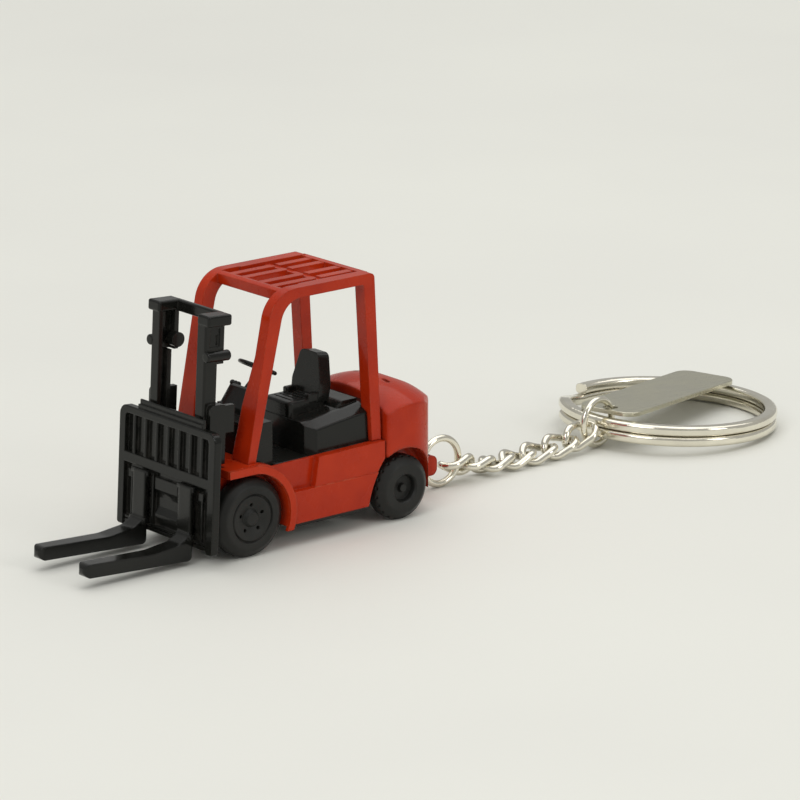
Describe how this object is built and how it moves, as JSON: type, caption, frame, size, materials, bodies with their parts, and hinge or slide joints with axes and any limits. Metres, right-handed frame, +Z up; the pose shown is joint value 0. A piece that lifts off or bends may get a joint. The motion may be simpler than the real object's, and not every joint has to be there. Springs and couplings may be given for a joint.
{
  "type": "toy forklift",
  "caption": "Die-cast miniature forklift truck with sliding fork carriage and rolling wheels, carried on a curb chain with a split key ring and a blank tag.",
  "frame": {"origin": "on the ground, on the truck's centre plane, directly under the front axle", "axes": "+X is the truck's left-hand side, +Y runs from the forks back along the truck and the chain, +Z is up"},
  "size_m": [0.03, 0.1192, 0.0332],
  "materials": {
    "body_paint": "gloss red-orange enamel, lightly worn",
    "frame_paint": "gloss black enamel",
    "wheel_black": "matte black",
    "steel_axle": "plain turned steel",
    "cab_plastic": "satin black",
    "base_grey": "satin black moulded plate",
    "screw_steel": "zinc plated",
    "nickel": "nickel plate, fine scratches",
    "tag_metal": "brushed plate"
  },
  "bodies": {
    "truck": {"body_shell": "body_paint", "counterweight": "body_paint", "baseplate": "base_grey", "base_screw_front": "screw_steel", "base_screw_rear": "screw_steel", "overhead_guard": "body_paint", "engine_cover": "frame_paint", "cowl": "cab_plastic", "floor_plate": "cab_plastic", "seat": "cab_plastic", "steering_column": "cab_plastic", "steering_wheel": "cab_plastic", "control_levers": "cab_plastic", "mast_frame": "frame_paint"},
    "front_wheelset": {"front_axle": "steel_axle", "front_wheel_left": "wheel_black", "front_wheel_right": "wheel_black"},
    "rear_wheelset": {"rear_axle": "steel_axle", "rear_wheel_left": "wheel_black", "rear_wheel_right": "wheel_black"},
    "carriage": {"fork_carriage": "frame_paint", "load_backrest": "frame_paint", "fork_left": "frame_paint", "fork_right": "frame_paint"},
    "lug_ring": {"lug_ring": "nickel"},
    "chain_link_1": {"chain_link_1": "nickel"},
    "chain_link_2": {"chain_link_2": "nickel"},
    "chain_link_3": {"chain_link_3": "nickel"},
    "chain_link_4": {"chain_link_4": "nickel"},
    "chain_link_5": {"chain_link_5": "nickel"},
    "chain_link_6": {"chain_link_6": "nickel"},
    "chain_link_7": {"chain_link_7": "nickel"},
    "key_jump_ring": {"key_jump_ring": "nickel"},
    "split_ring": {"split_ring": "nickel"},
    "tag": {"tag": "tag_metal"}
  },
  "joints": [
    {"name": "front_axle_spin", "type": "hinge", "parent": "truck", "child": "front_wheelset", "pos_m": [0, 0, 0.0051], "axis": [1, 0, 0], "continuous": true},
    {"name": "rear_axle_spin", "type": "hinge", "parent": "truck", "child": "rear_wheelset", "pos_m": [0, 0.0247, 0.00425], "axis": [1, 0, 0], "continuous": true},
    {"name": "carriage_lift", "type": "slide", "parent": "truck", "child": "carriage", "axis": [0, 0.0576, 0.9983], "range_m": [0, 0.0145]},
    {"name": "lug_ring_swing", "type": "hinge", "parent": "truck", "child": "lug_ring", "pos_m": [0, 0.03475, 0.00356], "axis": [0, 0, 1], "range_deg": [-45, 45]},
    {"name": "link_1_lift", "type": "hinge", "parent": "lug_ring", "child": "chain_link_1", "pos_m": [0.00014, 0.0389, 0.0031], "axis": [1, 0, 0], "range_deg": [0, 12]},
    {"name": "link_2_swing", "type": "hinge", "parent": "chain_link_1", "child": "chain_link_2", "pos_m": [-0.00008, 0.04278, 0.00217], "axis": [0, 0, 1], "range_deg": [-20, 20]},
    {"name": "link_3_swing", "type": "hinge", "parent": "chain_link_2", "child": "chain_link_3", "pos_m": [-0.00004, 0.04638, 0.00143], "axis": [0, 0, -1], "range_deg": [-15, 15]},
    {"name": "link_4_swing", "type": "hinge", "parent": "chain_link_3", "child": "chain_link_4", "pos_m": [-0.00025, 0.04966, 0.00131], "axis": [0, 0, 1], "range_deg": [-15, 15]},
    {"name": "link_5_swing", "type": "hinge", "parent": "chain_link_4", "child": "chain_link_5", "pos_m": [-0.00034, 0.05295, 0.00136], "axis": [0, 0, -1], "range_deg": [-15, 15]},
    {"name": "link_6_swing", "type": "hinge", "parent": "chain_link_5", "child": "chain_link_6", "pos_m": [-0.00012, 0.0566, 0.00161], "axis": [0, 0, 1], "range_deg": [-20, 20]},
    {"name": "link_7_swing", "type": "hinge", "parent": "chain_link_6", "child": "chain_link_7", "pos_m": [0.00002, 0.06027, 0.00188], "axis": [0, 0, -1], "range_deg": [-20, 20]},
    {"name": "key_ring_swing", "type": "hinge", "parent": "chain_link_7", "child": "key_jump_ring", "pos_m": [0.00003, 0.06351, 0.00352], "axis": [0, 0, 1], "range_deg": [-15, 15]},
    {"name": "split_ring_lift", "type": "hinge", "parent": "key_jump_ring", "child": "split_ring", "pos_m": [-0.0005, 0.0661, 0.00356], "axis": [0.9848, 0.1736, 0], "range_deg": [0, 25]},
    {"name": "tag_lift", "type": "hinge", "parent": "split_ring", "child": "tag", "pos_m": [-0.001, 0.0689, 0.00475], "axis": [0.9636, 0.2672, 0], "range_deg": [0, 6]}
  ]
}
